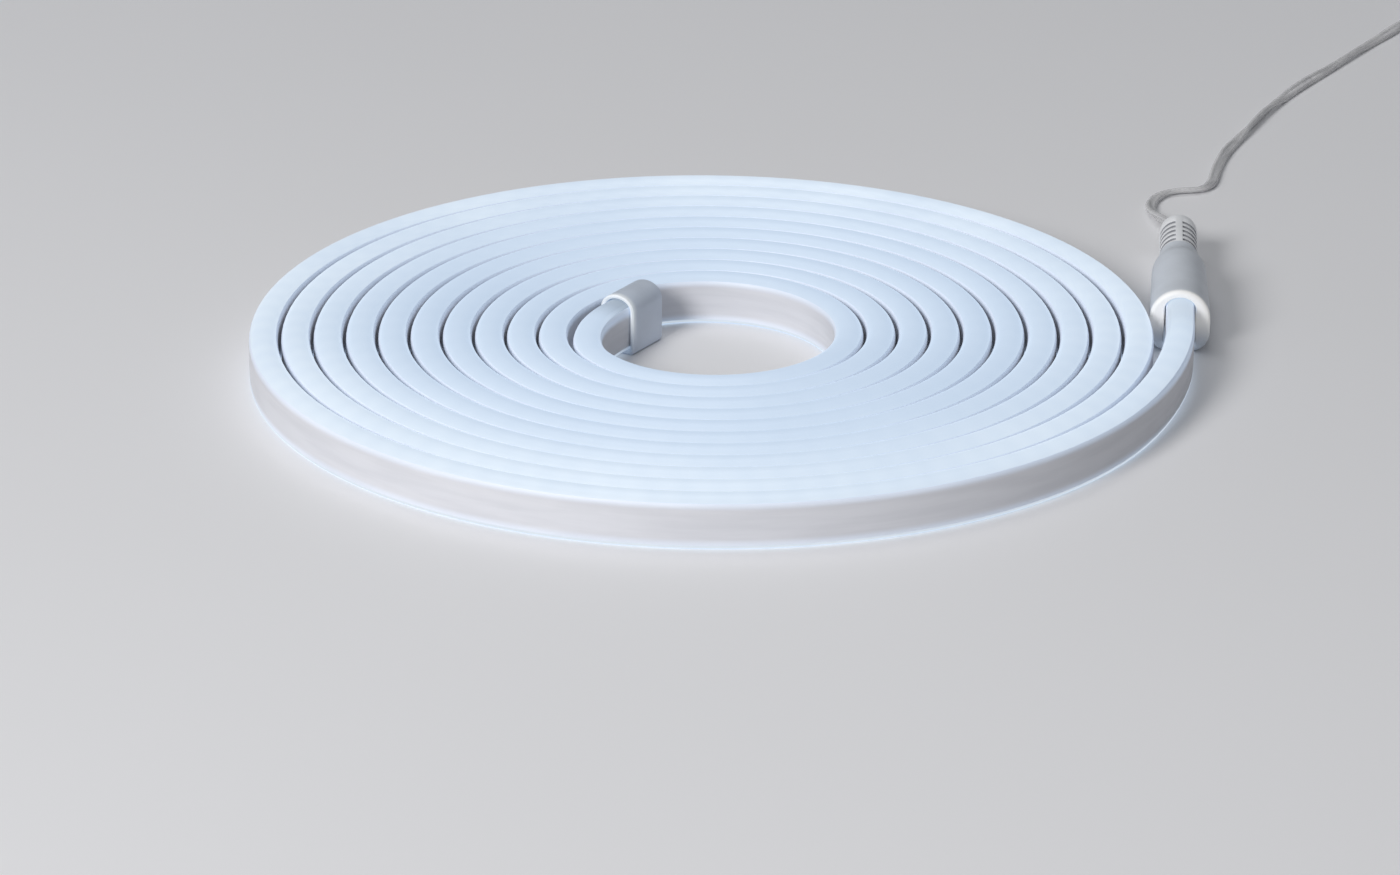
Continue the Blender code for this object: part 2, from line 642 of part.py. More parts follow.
build_strip()
build_cap()
build_housing()
build_contacts()
build_relief()
build_plug(*build_lead())
centre_on_origin()
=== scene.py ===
"""Looks of the neon flex strip: lit silicone between opaque side walls, its cap, its power lead and plug.

Lengths are in metres. The strip lies on Z = 0 and +X points to the side where the power housing is.
"""
from math import atan2, cos, pi, radians, sin, tau

import bmesh
import bpy
from mathutils import Matrix, Vector


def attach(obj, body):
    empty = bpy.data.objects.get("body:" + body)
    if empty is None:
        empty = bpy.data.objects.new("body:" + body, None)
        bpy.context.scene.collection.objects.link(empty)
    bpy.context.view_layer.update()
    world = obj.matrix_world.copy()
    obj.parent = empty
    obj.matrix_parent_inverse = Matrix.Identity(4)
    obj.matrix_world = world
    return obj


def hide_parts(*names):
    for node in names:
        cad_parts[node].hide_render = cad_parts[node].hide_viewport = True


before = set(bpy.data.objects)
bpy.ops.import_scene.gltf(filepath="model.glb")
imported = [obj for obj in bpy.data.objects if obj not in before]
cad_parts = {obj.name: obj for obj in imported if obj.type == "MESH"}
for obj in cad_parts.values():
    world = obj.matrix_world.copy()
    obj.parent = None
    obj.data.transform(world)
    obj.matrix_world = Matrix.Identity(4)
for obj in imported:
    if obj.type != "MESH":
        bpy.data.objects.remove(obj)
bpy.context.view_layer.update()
scene = bpy.context.scene
MM = 0.001

# The winding's centre, and the same sizes as the solids: first the strip's section and its spiral
CENTRE = Vector((-7.883, 2.020, 0.0)) * MM
STRIP_WIDTH = 7.4 * MM
STRIP_HEIGHT = 13.2 * MM
STRIP_DOME = 2.8 * MM
STRIP_CORNER = 1.0 * MM
EYE_RADIUS = 28.9 * MM
EYE_SKEW = 0.5 * MM
EYE_SHIFT = 5.0 * MM
EYE_OVAL = 1.2 * MM
GAP_MEAN = 0.80 * MM
GAP_SWAY = 0.50 * MM
GAP_OVAL = 0.12 * MM
FIRST_ANGLE = radians(157.5)
LAST_ANGLE = radians(3960)
SHORT_STEP = radians(0.2)
TUCK_SPAN = radians(60)
LEAVE_SPAN = radians(35)

# Cap, power housing and strain relief
FIT = 0.3 * MM
CAP_WALL = 1.0 * MM
CAP_DEPTH = 12.5 * MM
CAP_END_WALL = 2.0 * MM
CAP_CLEARANCE = 1.9 * MM
HOUSING_WIDTH = 15.8 * MM
HOUSING_FLOOR = 1.0 * MM
HOUSING_ROOF = 1.9 * MM
HOUSING_LENGTH = 48.0 * MM
HOUSING_CORNER = 5.0 * MM
MOUTH_SPREAD = 0.8 * MM
NECK_WIDTH = 10.8 * MM
NECK_HEIGHT = 12.6 * MM
NECK_CORNER = 3.0 * MM
SHOULDER_RUN = 11.0 * MM
MOUTH_RUN = 12.5 * MM
STRIP_INSERT = 12.0 * MM
CHANNEL_CENTRE = 6.0 * MM
RELIEF_LENGTH = 25.0 * MM
RELIEF_WIDTH = 10.2 * MM
RELIEF_HEIGHT = 11.2 * MM
SLOT_COUNT = 5
SLOT_WIDTH = 1.5 * MM
SLOT_PITCH = 3.4 * MM
SLOT_START = 2.8 * MM
SLOT_TOP_DEPTH = 2.4 * MM
SLOT_SIDE_DEPTH = 2.0 * MM
SLOT_FOOT = 3.0 * MM
RIDGE_WIDTH = 2.0 * MM

# A mouth's inner edge lies this far behind its outer one
MOUTH_DISH = 0.05 * MM

# Opaque side walls of the co-extrusion: how thick they are, and where they start and stop up the strip
WALL = 0.75 * MM
WALL_FOOT = 1.15 * MM
WALL_HEAD = 11.7 * MM
SEAM = 0.04 * MM

# Light by the way along the strip from its end in the cap: the stretch over which it grows towards the
# feed, and the short ones over which it fades in at the cap's mouth and out at the housing's
DIODE_PITCH = 8.33 * MM
FEED_GROWTH = (1.4, 4.7)
CAP_FADE = (9.0 * MM, 26.0 * MM)
HOUSING_FADE = (5.012, 5.036)

# Lead: flat clear twin wire, how it starts, and the rings of its spare length
WIRE_WIDTH = 3.2 * MM
WIRE_LOBE = 0.8 * MM
CORE_RADIUS = 0.42 * MM
STRAND_LAY = 1.6 * MM
EXIT_RUN = 5.0 * MM
EXIT_DIP = 0.12
COIL_RADIUS = 18.0 * MM
RING_SPREAD = 2.8 * MM
ROW_HEIGHT = 3.3 * MM
CLIMB_TURNS = 0.4

# Strap round the rings
TIE_FLOOR = 1.1 * MM
TIE_WALL = 0.8 * MM
TIE_WIDTH = 4.0 * MM
TIE_SPAN = 10.2 * MM
TIE_HEIGHT = 9.6 * MM
TIE_CORNER = 2.0 * MM

# Plug body and boot; one groove of the grip and one rib of the boot are (depth, distance back) pairs
PLUG_RADIUS = 4.8 * MM
PLUG_LENGTH = 24.0 * MM
GRIP_COUNT = 6
GRIP_START = 6.5 * MM
GRIP_PITCH = 2.1 * MM
GRIP_GROOVE = [(0.0, 0.0), (0.12 * MM, 0.12 * MM), (0.4 * MM, 0.3 * MM), (0.4 * MM, 0.7 * MM),
               (0.12 * MM, 0.88 * MM), (0.0, 1.0 * MM)]
WIRE_BORE = 1.5 * MM
WIRE_SEAT = 4.0 * MM
BOOT_LENGTH = 13.0 * MM
BOOT_RADIUS = 3.6 * MM
BOOT_TIP_RADIUS = 2.2 * MM
RIB_COUNT = 5
RIB_START = 2.2 * MM
RIB_PITCH = 2.0 * MM
RIB = [(0.0, 0.0), (0.45 * MM, 0.25 * MM), (0.5 * MM, 0.75 * MM), (0.1 * MM, 1.0 * MM)]

# Barrel of the plug, with its insulator and contact
BARREL_RADIUS = 2.75 * MM
BARREL_WALL = 0.4 * MM
BARREL_REACH = 9.5 * MM
BARREL_SEAT = 5.0 * MM
CONTACT_BORE = 1.05 * MM

# How finely round shapes and long lines are divided
ROUND_STEPS = 4
CORNER_STEPS = 5
STRIP_STEPS_A_TURN = 120
COIL_STEPS_A_TURN = 24
LEAD_STEP = 2.0 * MM
LEAD_SMOOTHINGS = 4
LATHE_STEPS = 48


class Socket:
    """An output socket that can be used in sums; each operation adds its Math node."""

    def __init__(self, finish, link):
        self.finish, self.link = finish, link

    def _sum(self, kind, *terms):
        return self.finish.node("ShaderNodeMath", {"operation": kind}, dict(enumerate(terms)))

    def __add__(self, other):
        return self._sum("ADD", self, other)

    __radd__ = __add__

    def __sub__(self, other):
        return self._sum("SUBTRACT", self, other)

    def __rsub__(self, other):
        return self._sum("SUBTRACT", other, self)

    def __mul__(self, other):
        return self._sum("MULTIPLY", self, other)

    __rmul__ = __mul__

    def sine(self):
        return self._sum("SINE", self)

    def size(self):
        return self._sum("ABSOLUTE", self)

    def step(self, low, high):
        """Smooth rise from 0 at low to 1 at high."""
        return self.finish.node("ShaderNodeMapRange", {"interpolation_type": "SMOOTHSTEP"},
                                {"Value": self, "From Min": low, "From Max": high})

    def band(self, rise, fall):
        """Up from 0 to 1 over one stretch, and down again over another one further on."""
        return self.step(*rise) * (1.0 - self.step(*fall))


class Finish:
    """A material round one Principled shader, with the few node calls that the finishes need."""

    def __init__(self, name, **values):
        self.mat = bpy.data.materials.new(name)
        self.mat.use_nodes = True
        self.tree = self.mat.node_tree
        self.shader = self.tree.nodes["Principled BSDF"]
        self.set(**values)

    def plug(self, socket, value):
        if isinstance(value, Socket):
            self.tree.links.new(value.link, socket)
        elif isinstance(value, tuple) and len(value) == 3 and len(socket.default_value) == 4:
            socket.default_value = (*value, 1.0)
        else:
            socket.default_value = value

    def node(self, kind, settings=None, values=None, out=0):
        """New node of a type: its settings first, then the values or links of its sockets."""
        node = self.tree.nodes.new(kind)
        for key, value in (settings or {}).items():
            setattr(node, key, value)
        for key, value in (values or {}).items():
            self.plug(node.inputs[key], value)
        return Socket(self, node.outputs[out])

    def set(self, **values):
        for key, value in values.items():
            self.plug(self.shader.inputs[key.replace("_", " ")], value)

    def place(self, axis=None):
        spot = self.node("ShaderNodeTexCoord", out="Object")
        if axis is None:
            return spot
        return self.node("ShaderNodeSeparateXYZ", None, {0: spot}, out=axis)

    def reach(self, start, way):
        """How far past a point, along a heading, each place on the piece lies."""
        aim = (cos(way), sin(way), 0.0)
        far = self.node("ShaderNodeVectorMath", {"operation": "DOT_PRODUCT"}, {0: self.place(), 1: aim},
                        out="Value")
        return far - (start.x * aim[0] + start.y * aim[1])

    def facing_up(self):
        turned = self.node("ShaderNodeNewGeometry", out="Normal")
        return self.node("ShaderNodeSeparateXYZ", None, {0: turned}, out="Z")

    def attribute(self, name):
        return self.node("ShaderNodeAttribute", {"attribute_name": name}, out="Fac")

    def noise(self, scale, detail=3.0, stretch=None):
        """Noise of about so many cells to the metre."""
        spot = self.place()
        if stretch:
            spot = self.node("ShaderNodeMapping", None, {"Vector": spot, "Scale": stretch})
        return self.node("ShaderNodeTexNoise", None, {"Vector": spot, "Scale": scale, "Detail": detail})

    def mix(self, factor, first, second):
        """Mix of two colours, which are inputs 6 and 7 of the node and leave by its output 2."""
        return self.node("ShaderNodeMix", {"data_type": "RGBA"}, {"Factor": factor, 6: first, 7: second},
                         out=2)

    def bump(self, height, distance, strength=1.0):
        self.set(Normal=self.node("ShaderNodeBump", None,
                                  {"Strength": strength, "Distance": distance, "Height": height}))


def dimmed(tint, share):
    return tuple(c * share for c in tint)


def lit_silicone():
    """Silicone lit from inside: bluish on top, with painted highlight that whitens its sides, and a soft beat
    of diodes.
    """
    skin = Finish("lit_silicone", Roughness=0.42, Base_Color=(0.22, 0.225, 0.225), Emission_Strength=1.0)
    run = skin.attribute("along")
    # Painted highlight: the glow is whiter and brighter where the dome faces sideways
    flank_highlight = 1.0 - skin.facing_up().size().step(0.15, 0.95)
    beat = 0.5 + 0.5 * (run * (tau / DIODE_PITCH)).sine()
    cloud = skin.noise(26.0, 2.0)
    # The turns near the feed are brighter and whiter than those far from it
    feed = run.step(*FEED_GROWTH)
    top = skin.mix(feed, (0.44, 0.55, 0.70), (0.56, 0.655, 0.765))
    side = skin.mix(feed, (0.54, 0.62, 0.70), (0.585, 0.65, 0.71))
    glow = skin.mix(flank_highlight, top, side)
    glow = skin.mix(beat * 0.10 + cloud.step(0.3, 0.7) * 0.28, glow, (0.39, 0.50, 0.65))
    # No diodes lie behind the mouths: the strip dims as it goes into the cap, and less so at the housing
    unlit = 1.0 - run.step(*CAP_FADE) + 0.3 * run.step(*HOUSING_FADE)
    glow = skin.mix(unlit, glow, (0.14, 0.19, 0.26))
    # It is a little dimmer between its very foot and the side walls
    # Painted light: this band glows the grey that the side wall shows under the front lamp
    under_wall = skin.place("Z").band((0.25 * MM, 0.8 * MM), (1.4 * MM, 2.0 * MM))
    skin.set(Emission_Color=skin.mix(under_wall * 0.6, glow, (0.45, 0.51, 0.58)))
    skin.bump(skin.noise(900.0, 2.0), 0.04 * MM, 0.4)
    return skin.mat


def wall_silicone():
    """Opaque side wall: cool off-white, streaked lengthwise, with a little light along its two edges."""
    skin = Finish("wall_silicone", Emission_Strength=1.0)
    height = skin.place("Z")
    streak = skin.noise(40.0, 3.0, (1.0, 1.0, 12.0))
    skin.set(Base_Color=skin.mix(streak.step(0.3, 0.7), (0.655, 0.665, 0.71), (0.705, 0.715, 0.76)),
             Roughness=0.42 + 0.16 * skin.noise(220.0, 2.0))
    bleed = height.step(9.8 * MM, 11.8 * MM) * 0.8 + (1.0 - height.step(1.3 * MM, 3.0 * MM)) * 0.5
    skin.set(Emission_Color=skin.mix(bleed, (0.0, 0.0, 0.0), (0.17, 0.24, 0.34)))
    skin.bump(streak, 0.1 * MM, 0.3)
    return skin.mat


def white_moulding(name, tint):
    """White plastic with a faint cloud and a fine moulded grain."""
    skin = Finish(name)
    cloud = skin.noise(90.0, 3.0).step(0.3, 0.7)
    skin.set(Base_Color=skin.mix(cloud, dimmed(tint, 0.92), tint),
             Roughness=0.34 + 0.14 * skin.noise(400.0, 3.0))
    skin.bump(skin.noise(1400.0, 2.0), 0.05 * MM, 0.35)
    return skin


def lit_lip(skin, start, way, bright, glow):
    """Whiten the lip round a mouth, where the strip shines on and into it."""
    far = skin.reach(start, way)
    lip = (1.0 - far.step(0.4 * MM, 2.4 * MM)) * skin.place("Z").step(2.0 * MM, 9.5 * MM)
    plain = skin.shader.inputs["Base Color"].links[0].from_socket
    skin.set(Base_Color=skin.mix(lip, Socket(skin, plain), bright),
             Emission_Color=skin.mix(lip, (0.0, 0.0, 0.0), glow), Emission_Strength=1.0)
    return skin.mat


def clear_wire():
    """Clear soft jacket, a little hazy in places."""
    skin = Finish("clear_wire", Roughness=0.16, IOR=1.45, Alpha=0.48)
    haze = skin.noise(120.0, 2.0).step(0.35, 0.65)
    skin.set(Base_Color=skin.mix(haze, (0.78, 0.78, 0.80), (0.93, 0.93, 0.94)))
    skin.bump(skin.noise(500.0, 2.0), 0.05 * MM, 0.3)
    return skin.mat


def tinned_strands():
    """Fine strands that lie round each other, as slanting stripes of painted highlight and painted shade."""
    skin = Finish("tinned_strands", Metallic=0.6, Roughness=0.35)
    # Painted highlight and shade: light and dark stripes stand for the round of each strand
    lay = (skin.attribute("along") * (tau / STRAND_LAY) + skin.attribute("around") * 5.0).sine()
    skin.set(Base_Color=skin.mix(lay.step(-0.6, 0.8), (0.56, 0.56, 0.57), (0.94, 0.94, 0.94)))
    return skin.mat


def plain_plastic(name, tint, roughness):
    skin = Finish(name)
    skin.set(Base_Color=skin.mix(skin.noise(160.0, 3.0), dimmed(tint, 0.86), tint),
             Roughness=roughness + 0.12 * skin.noise(600.0, 2.0))
    skin.bump(skin.noise(1800.0, 2.0), 0.04 * MM, 0.3)
    return skin.mat


def metal(name, tint, roughness):
    skin = Finish(name, Metallic=1.0)
    skin.set(Base_Color=skin.mix(skin.noise(300.0, 3.0), dimmed(tint, 0.85), tint),
             Roughness=roughness + 0.15 * skin.noise(900.0, 2.0))
    return skin.mat


def circuit_film():
    """Flexible circuit: pale solder mask with a speckled band of copper pads along its middle."""
    skin = Finish("circuit_film", Roughness=0.45)
    pads = skin.place("Z").band((4.0 * MM, 4.2 * MM), (7.0 * MM, 7.2 * MM))
    skin.set(Base_Color=skin.mix(pads * skin.noise(900.0, 1.0), (0.82, 0.80, 0.72), (0.70, 0.52, 0.25)))
    return skin.mat


def pale_floor():
    skin = Finish("pale_floor", Roughness=0.6)
    skin.set(Base_Color=skin.mix(skin.noise(3.0, 2.0), (0.86, 0.86, 0.88), (0.90, 0.90, 0.92)))
    return skin.mat


LIT = lit_silicone()
SIDE = wall_silicone()
CLEAR = clear_wire()
STRANDS = tinned_strands()
TIE = plain_plastic("tie_plastic", (0.80, 0.80, 0.80), 0.45)
DARK = plain_plastic("dark_plastic", (0.035, 0.035, 0.037), 0.38)
BLOCK = plain_plastic("block_plastic", (0.85, 0.84, 0.80), 0.5)
NICKEL = metal("nickel", (0.76, 0.75, 0.73), 0.2)
BRASS = metal("brass", (0.78, 0.60, 0.30), 0.25)
FILM = circuit_film()


def turn_gap(angle):
    return GAP_MEAN + GAP_SWAY * sin(angle) + GAP_OVAL * cos(2 * angle)


def eye_wall(angle):
    return EYE_RADIUS + EYE_SKEW * cos(angle) - EYE_SHIFT * sin(angle) - EYE_OVAL * cos(2 * angle)


def ramp(value):
    return min(max(value, 0.0), 1.0)


def ease(value):
    value = ramp(value)
    return value * value * (3 - 2 * value)


def passed(value, start, run):
    """Eased share of a run, from its start on, that a value has passed."""
    return ease((value - start) / run)


# How far the strip tucks in at the cap and leans out at the housing, and how far it rises on the way to
# each; at this pace it has risen after four fifths of the way
TUCK = FIT + CAP_WALL + CAP_CLEARANCE
LEAVE = (HOUSING_WIDTH - STRIP_WIDTH) / 2 - turn_gap(0.0) - MOUTH_SPREAD
CAP_LIFT = CAP_WALL + FIT
HOUSING_LIFT = HOUSING_FLOOR + FIT
LIFT_PACE = 1.25


def winding(angle):
    """Point under the strip's centre line, at the height of its underside."""
    turns = (angle - pi) / tau
    radius = eye_wall(angle) + STRIP_WIDTH / 2 + turns * (STRIP_WIDTH + turn_gap(angle))
    tuck = ramp((FIRST_ANGLE + TUCK_SPAN - angle) / TUCK_SPAN)
    leave = ramp((angle - LAST_ANGLE + LEAVE_SPAN) / LEAVE_SPAN)
    radius += LEAVE * leave ** 2 - TUCK * ease(tuck)
    height = CAP_LIFT * ease(LIFT_PACE * tuck) + HOUSING_LIFT * ease(LIFT_PACE * leave)
    return CENTRE + Vector((radius * cos(angle), radius * sin(angle), height))


def heading(start, end):
    way = winding(end) - winding(start)
    return atan2(way.y, way.x)


def along(start, way, distance):
    return start + distance * Vector((cos(way), sin(way), 0.0))


def from_centre(x, y, z=0.0):
    """Point given in millimetres from the winding's centre."""
    return CENTRE + Vector((x, y, z)) * MM


CAP_MOUTH = winding(FIRST_ANGLE)
CAP_HEADING = heading(FIRST_ANGLE + SHORT_STEP, FIRST_ANGLE)
LEAVING_POINT = winding(LAST_ANGLE)
HOUSING_HEADING = heading(LAST_ANGLE - SHORT_STEP, LAST_ANGLE)
HOUSING_MOUTH = along(LEAVING_POINT, HOUSING_HEADING, MOUTH_RUN)
HOUSING_HEIGHT = HOUSING_LIFT + STRIP_HEIGHT + FIT + HOUSING_ROOF
AXIS_HEIGHT = HOUSING_LIFT + CHANNEL_CENTRE


MOULDED = white_moulding("white_moulding", (0.70, 0.745, 0.81))
HOUSING_SKIN = lit_lip(MOULDED, HOUSING_MOUTH, HOUSING_HEADING, (0.86, 0.86, 0.87), (0.15, 0.15, 0.14))
RELIEF_SKIN = white_moulding("relief_moulding", (0.93, 0.945, 0.97)).mat
# Dark grey on the slots' faces is painted shade in the recesses
SLOT_SHADE_SKIN = white_moulding("slot_painted_shade", (0.33, 0.34, 0.37)).mat
CAP_SKIN = lit_lip(white_moulding("cap_silicone", (0.64, 0.71, 0.82)), CAP_MOUTH, CAP_HEADING,
                   (0.84, 0.86, 0.88), (0.11, 0.13, 0.15))


def frame_at(point, way):
    """Matrix whose local +Y runs along a heading, on the table under the point."""
    return Matrix.Translation((point.x, point.y, 0.0)) @ Matrix.Rotation(way - pi / 2, 4, "Z")


CAP_FRAME = frame_at(CAP_MOUTH, CAP_HEADING)
HOUSING_FRAME = frame_at(HOUSING_MOUTH, HOUSING_HEADING)


def finish(name, bm_or_mesh, mats, where=None, sharp=35):
    """Object at the origin with its place in its mesh, shaded smooth but for its sharp edges."""
    mesh = bm_or_mesh
    if isinstance(mesh, bmesh.types.BMesh):
        mesh = bpy.data.meshes.new(name)
        bm_or_mesh.to_mesh(mesh)
        bm_or_mesh.free()
    if where is not None:
        mesh.transform(where)
    mesh.name = name
    mesh.materials.clear()
    for mat in mats:
        mesh.materials.append(mat)
    mesh.shade_smooth()
    mesh.set_sharp_from_angle(angle=radians(sharp))
    obj = bpy.data.objects.new(name, mesh)
    scene.collection.objects.link(obj)
    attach(obj, "root")
    return obj


def settle(obj):
    """Swap an object's mesh for the one its modifiers give."""
    bpy.context.view_layer.update()
    mesh = bpy.data.meshes.new_from_object(obj.evaluated_get(bpy.context.evaluated_depsgraph_get()))
    obj.modifiers.clear()
    obj.data = mesh


def soften(obj, width, segments, angle):
    """Round every edge of an object that is sharper than an angle in degrees."""
    soft = obj.modifiers.new("soft_edges", "BEVEL")
    soft.width, soft.segments, soft.limit_method, soft.angle_limit = width, segments, "ANGLE", radians(angle)


def poly_curve(name, points, closed=False, tilts=None):
    data = bpy.data.curves.new(name, "CURVE")
    data.dimensions = "3D"
    data.twist_mode = "Z_UP"
    spline = data.splines.new("POLY")
    spline.points.add(len(points) - 1)
    for i, (slot, point) in enumerate(zip(spline.points, points)):
        slot.co = (*point, 1.0)
        if tilts:
            slot.tilt = tilts[i]
    spline.use_cyclic_u = closed
    obj = bpy.data.objects.new(name, data)
    scene.collection.objects.link(obj)
    return obj


def swept(name, line, outline, mats, tilts=None, sharp=35):
    """Sweep a closed (across, up) outline along a line, keeping how far along and around each point lies."""
    section = poly_curve(name + "_section", [(x, z, 0.0) for x, z in outline], closed=True)
    path = poly_curve(name + "_path", line, tilts=tilts)
    path.data.bevel_mode = "OBJECT"
    path.data.bevel_object = section
    path.data.use_fill_caps = True
    bpy.context.view_layer.update()
    mesh = bpy.data.meshes.new_from_object(path.evaluated_get(bpy.context.evaluated_depsgraph_get()))
    bpy.data.objects.remove(path)
    bpy.data.objects.remove(section)
    bm = bmesh.new()
    bm.from_mesh(mesh)
    bmesh.ops.remove_doubles(bm, verts=bm.verts, dist=1e-7)
    bmesh.ops.recalc_face_normals(bm, faces=bm.faces)
    reach, around = bm.verts.layers.float.new("along"), bm.verts.layers.float.new("around")
    bm.verts.ensure_lookup_table()
    count, walked = len(outline), 0.0
    for i, point in enumerate(line):
        walked += (point - line[i - 1]).length if i else 0.0
        for j in range(count):
            vert = bm.verts[i * count + j]
            vert[reach], vert[around] = walked, j / count
    bm.to_mesh(mesh)
    bm.free()
    return finish(name, mesh, mats, sharp=sharp)


def quarter_turn(steps=ROUND_STEPS):
    """Angles from 0 to a quarter turn."""
    return [i * pi / 2 / steps for i in range(steps + 1)]


def arch(width, bottom, top, corner, dome=None, steps=20):
    """Upright outline of (across, up) pairs with a round top and small round lower corners."""
    half = width / 2
    dome = dome or half
    over = [pi * i / steps for i in range(steps + 1)]
    points = [(half * cos(a), top - dome + dome * sin(a)) for a in over]
    for side, first in ((-1, pi), (1, 1.5 * pi)):
        for a in [first + turn for turn in quarter_turn(CORNER_STEPS)]:
            points.append((side * (half - corner) + corner * cos(a), bottom + corner + corner * sin(a)))
    return points


def strip_outline(grow=0.0, lift=0.0, steps=20):
    return arch(STRIP_WIDTH + 2 * grow, lift - grow, lift + STRIP_HEIGHT + grow, STRIP_CORNER,
                STRIP_DOME + grow, steps)


def lofted(stations):
    """Closed bmesh through like outlines, each given as (distance along +Y, (across, up) pairs)."""
    bm = bmesh.new()
    last = None
    for y, outline in stations:
        ring = [bm.verts.new((x, y, z)) for x, z in outline]
        loop = [bm.edges.new((p, q)) for p, q in zip(ring, ring[1:] + ring[:1])]
        if last:
            bmesh.ops.bridge_loops(bm, edges=last + loop)
        else:
            bm.faces.new(ring)
        last = loop
    bm.faces.new(ring)
    bmesh.ops.recalc_face_normals(bm, faces=bm.faces)
    return bm


def between(first, last, count):
    """Outlines that pass evenly from one like outline to another, both of them left out."""
    return [[(a + (c - a) * i / count, b + (d - b) * i / count) for (a, b), (c, d) in zip(first, last)]
            for i in range(1, count)]


def run_length(points):
    return sum((q - p).length for p, q in zip(points, points[1:]))


def smooth_line(points, step):
    """Even points, about a step apart, on a smooth curve through the given ones."""
    samples, slack = 24, 1e-9
    ends = [2 * points[0] - points[1], *points, 2 * points[-1] - points[-2]]
    fine = []
    for a, b, c, d in zip(ends, ends[1:], ends[2:], ends[3:]):
        for i in range(samples):
            t = i / samples
            fine.append(0.5 * (2 * b + (c - a) * t + (2 * a - 5 * b + 4 * c - d) * t ** 2
                               + (3 * b - a - 3 * c + d) * t ** 3))
    fine.append(points[-1])
    total = run_length(fine)
    count = max(2, round(total / step))
    line, walked, target = [fine[0]], 0.0, total / count
    for p, q in zip(fine, fine[1:]):
        span = (q - p).length
        while walked + span >= target - slack and len(line) < count:
            line.append(p.lerp(q, (target - walked) / span))
            target += total / count
        walked += span
    line.append(fine[-1])
    return line


def build_strip():
    """Lit core with its two opaque walls let into its sides, wound as one run of strip."""
    sweep = LAST_ANGLE - FIRST_ANGLE
    in_cap, in_winding, in_housing = 4, round(sweep / tau * STRIP_STEPS_A_TURN), 6
    line = [along(CAP_MOUTH, CAP_HEADING, CAP_DEPTH * i / in_cap) for i in range(in_cap, 0, -1)]
    line += [winding(FIRST_ANGLE + sweep * i / in_winding) for i in range(in_winding + 1)]
    line += [along(LEAVING_POINT, HOUSING_HEADING, (MOUTH_RUN + STRIP_INSERT) * i / in_housing)
             for i in range(1, in_housing + 1)]

    half = STRIP_WIDTH / 2
    spring = STRIP_HEIGHT - STRIP_DOME

    def side_at(height):
        """Half the strip's width at a height."""
        if height <= spring:
            return half
        return half * (1 - ((height - spring) / STRIP_DOME) ** 2) ** 0.5

    heights = [WALL_FOOT, spring]
    heights += [spring + (WALL_HEAD - spring) * i / ROUND_STEPS for i in range(1, ROUND_STEPS + 1)]
    outer = [(side_at(z), z) for z in heights]
    inner = [(side_at(z) - WALL, z) for z in heights]
    wall = outer + list(reversed(inner))

    # The core steps in behind each wall, a seam away from it, from just below its foot to just above its head
    recess = [(half, WALL_FOOT - SEAM)] + [(x - SEAM, z) for x, z in inner]
    recess.append((side_at(WALL_HEAD), WALL_HEAD + SEAM))
    top = [(x, z) for x, z in strip_outline(steps=28) if z > WALL_HEAD + 0.1 * MM]
    foot = [(x, z) for x, z in strip_outline() if z < STRIP_CORNER + 0.01 * MM]
    core = top + [(-x, z) for x, z in reversed(recess)] + foot + recess

    lit = swept("strip_core", line, core, [LIT], sharp=50)
    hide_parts("neon_jacket")
    for name, side in (("strip_wall_outer", 1), ("strip_wall_inner", -1)):
        skin = swept(name, line, [(side * x, z) for x, z in wall], [SIDE], sharp=50)
        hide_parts("neon_jacket")
    return lit, line


def build_cap():
    """Closed sleeve with a thin rim round its open mouth."""
    edge, rim = 0.9 * MM, 0.35 * MM
    out = FIT + CAP_WALL
    length = CAP_DEPTH + FIT + CAP_END_WALL

    def ring(grow):
        return strip_outline(grow, CAP_LIFT)

    stations = [(CAP_DEPTH + FIT, ring(0.8 * FIT)), (CAP_DEPTH, ring(FIT)), (rim, ring(FIT)),
                (MOUTH_DISH, ring(FIT + rim)), (0.0, ring(out - rim)), (rim, ring(out))]
    stations += [(length - edge + edge * sin(a), ring(out - edge + edge * cos(a))) for a in quarter_turn()]
    cap = finish("end_cap_shell", lofted(stations), [CAP_SKIN], CAP_FRAME)
    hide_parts("end_cap")
    return cap


def build_housing():
    """Smooth nozzle with a thick rounded lip and an open mouth."""
    lip, waist_depth = 1.0 * MM, 1.2 * MM
    face_steps, body_steps = 4, 26
    neck_low = AXIS_HEIGHT - NECK_HEIGHT / 2
    shoulder = HOUSING_LENGTH - SHOULDER_RUN
    close_start, close_run = shoulder - 3.0 * MM, SHOULDER_RUN + 1.0 * MM

    def ring(s, inset=0.0):
        """Outline at a distance s from the mouth: full, then drawn in to the neck over a soft shoulder."""
        waist = ease(s / shoulder) * waist_depth
        close = passed(s, close_start, close_run)
        width = (HOUSING_WIDTH - waist) * (1 - close) + NECK_WIDTH * close
        high = (HOUSING_HEIGHT - waist / 2) * (1 - close) + (neck_low + NECK_HEIGHT) * close
        low = neck_low * close
        corner = HOUSING_CORNER * (1 - close) + NECK_CORNER * close
        return arch(width - 2 * inset, low + inset, high - inset, corner - inset)

    fitted, flared = strip_outline(FIT, HOUSING_LIFT), strip_outline(FIT + 0.3 * lip, HOUSING_LIFT)
    socket = [(STRIP_INSERT, fitted), (0.6 * lip, fitted), (MOUTH_DISH, flared)]
    over = [(lip * (1 - cos(a)), ring(0.0, lip * (1 - sin(a)))) for a in quarter_turn()]
    face = [(MOUTH_DISH * (1 - i / face_steps), outline)
            for i, outline in enumerate(between(flared, over[0][1], face_steps), 1)]
    body = [lip + (HOUSING_LENGTH - lip) * i / body_steps for i in range(1, body_steps + 1)]
    stations = socket + face + over + [(s, ring(s)) for s in body]
    shell = finish("power_housing_shell", lofted(stations), [HOUSING_SKIN], HOUSING_FRAME)
    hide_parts("power_housing")


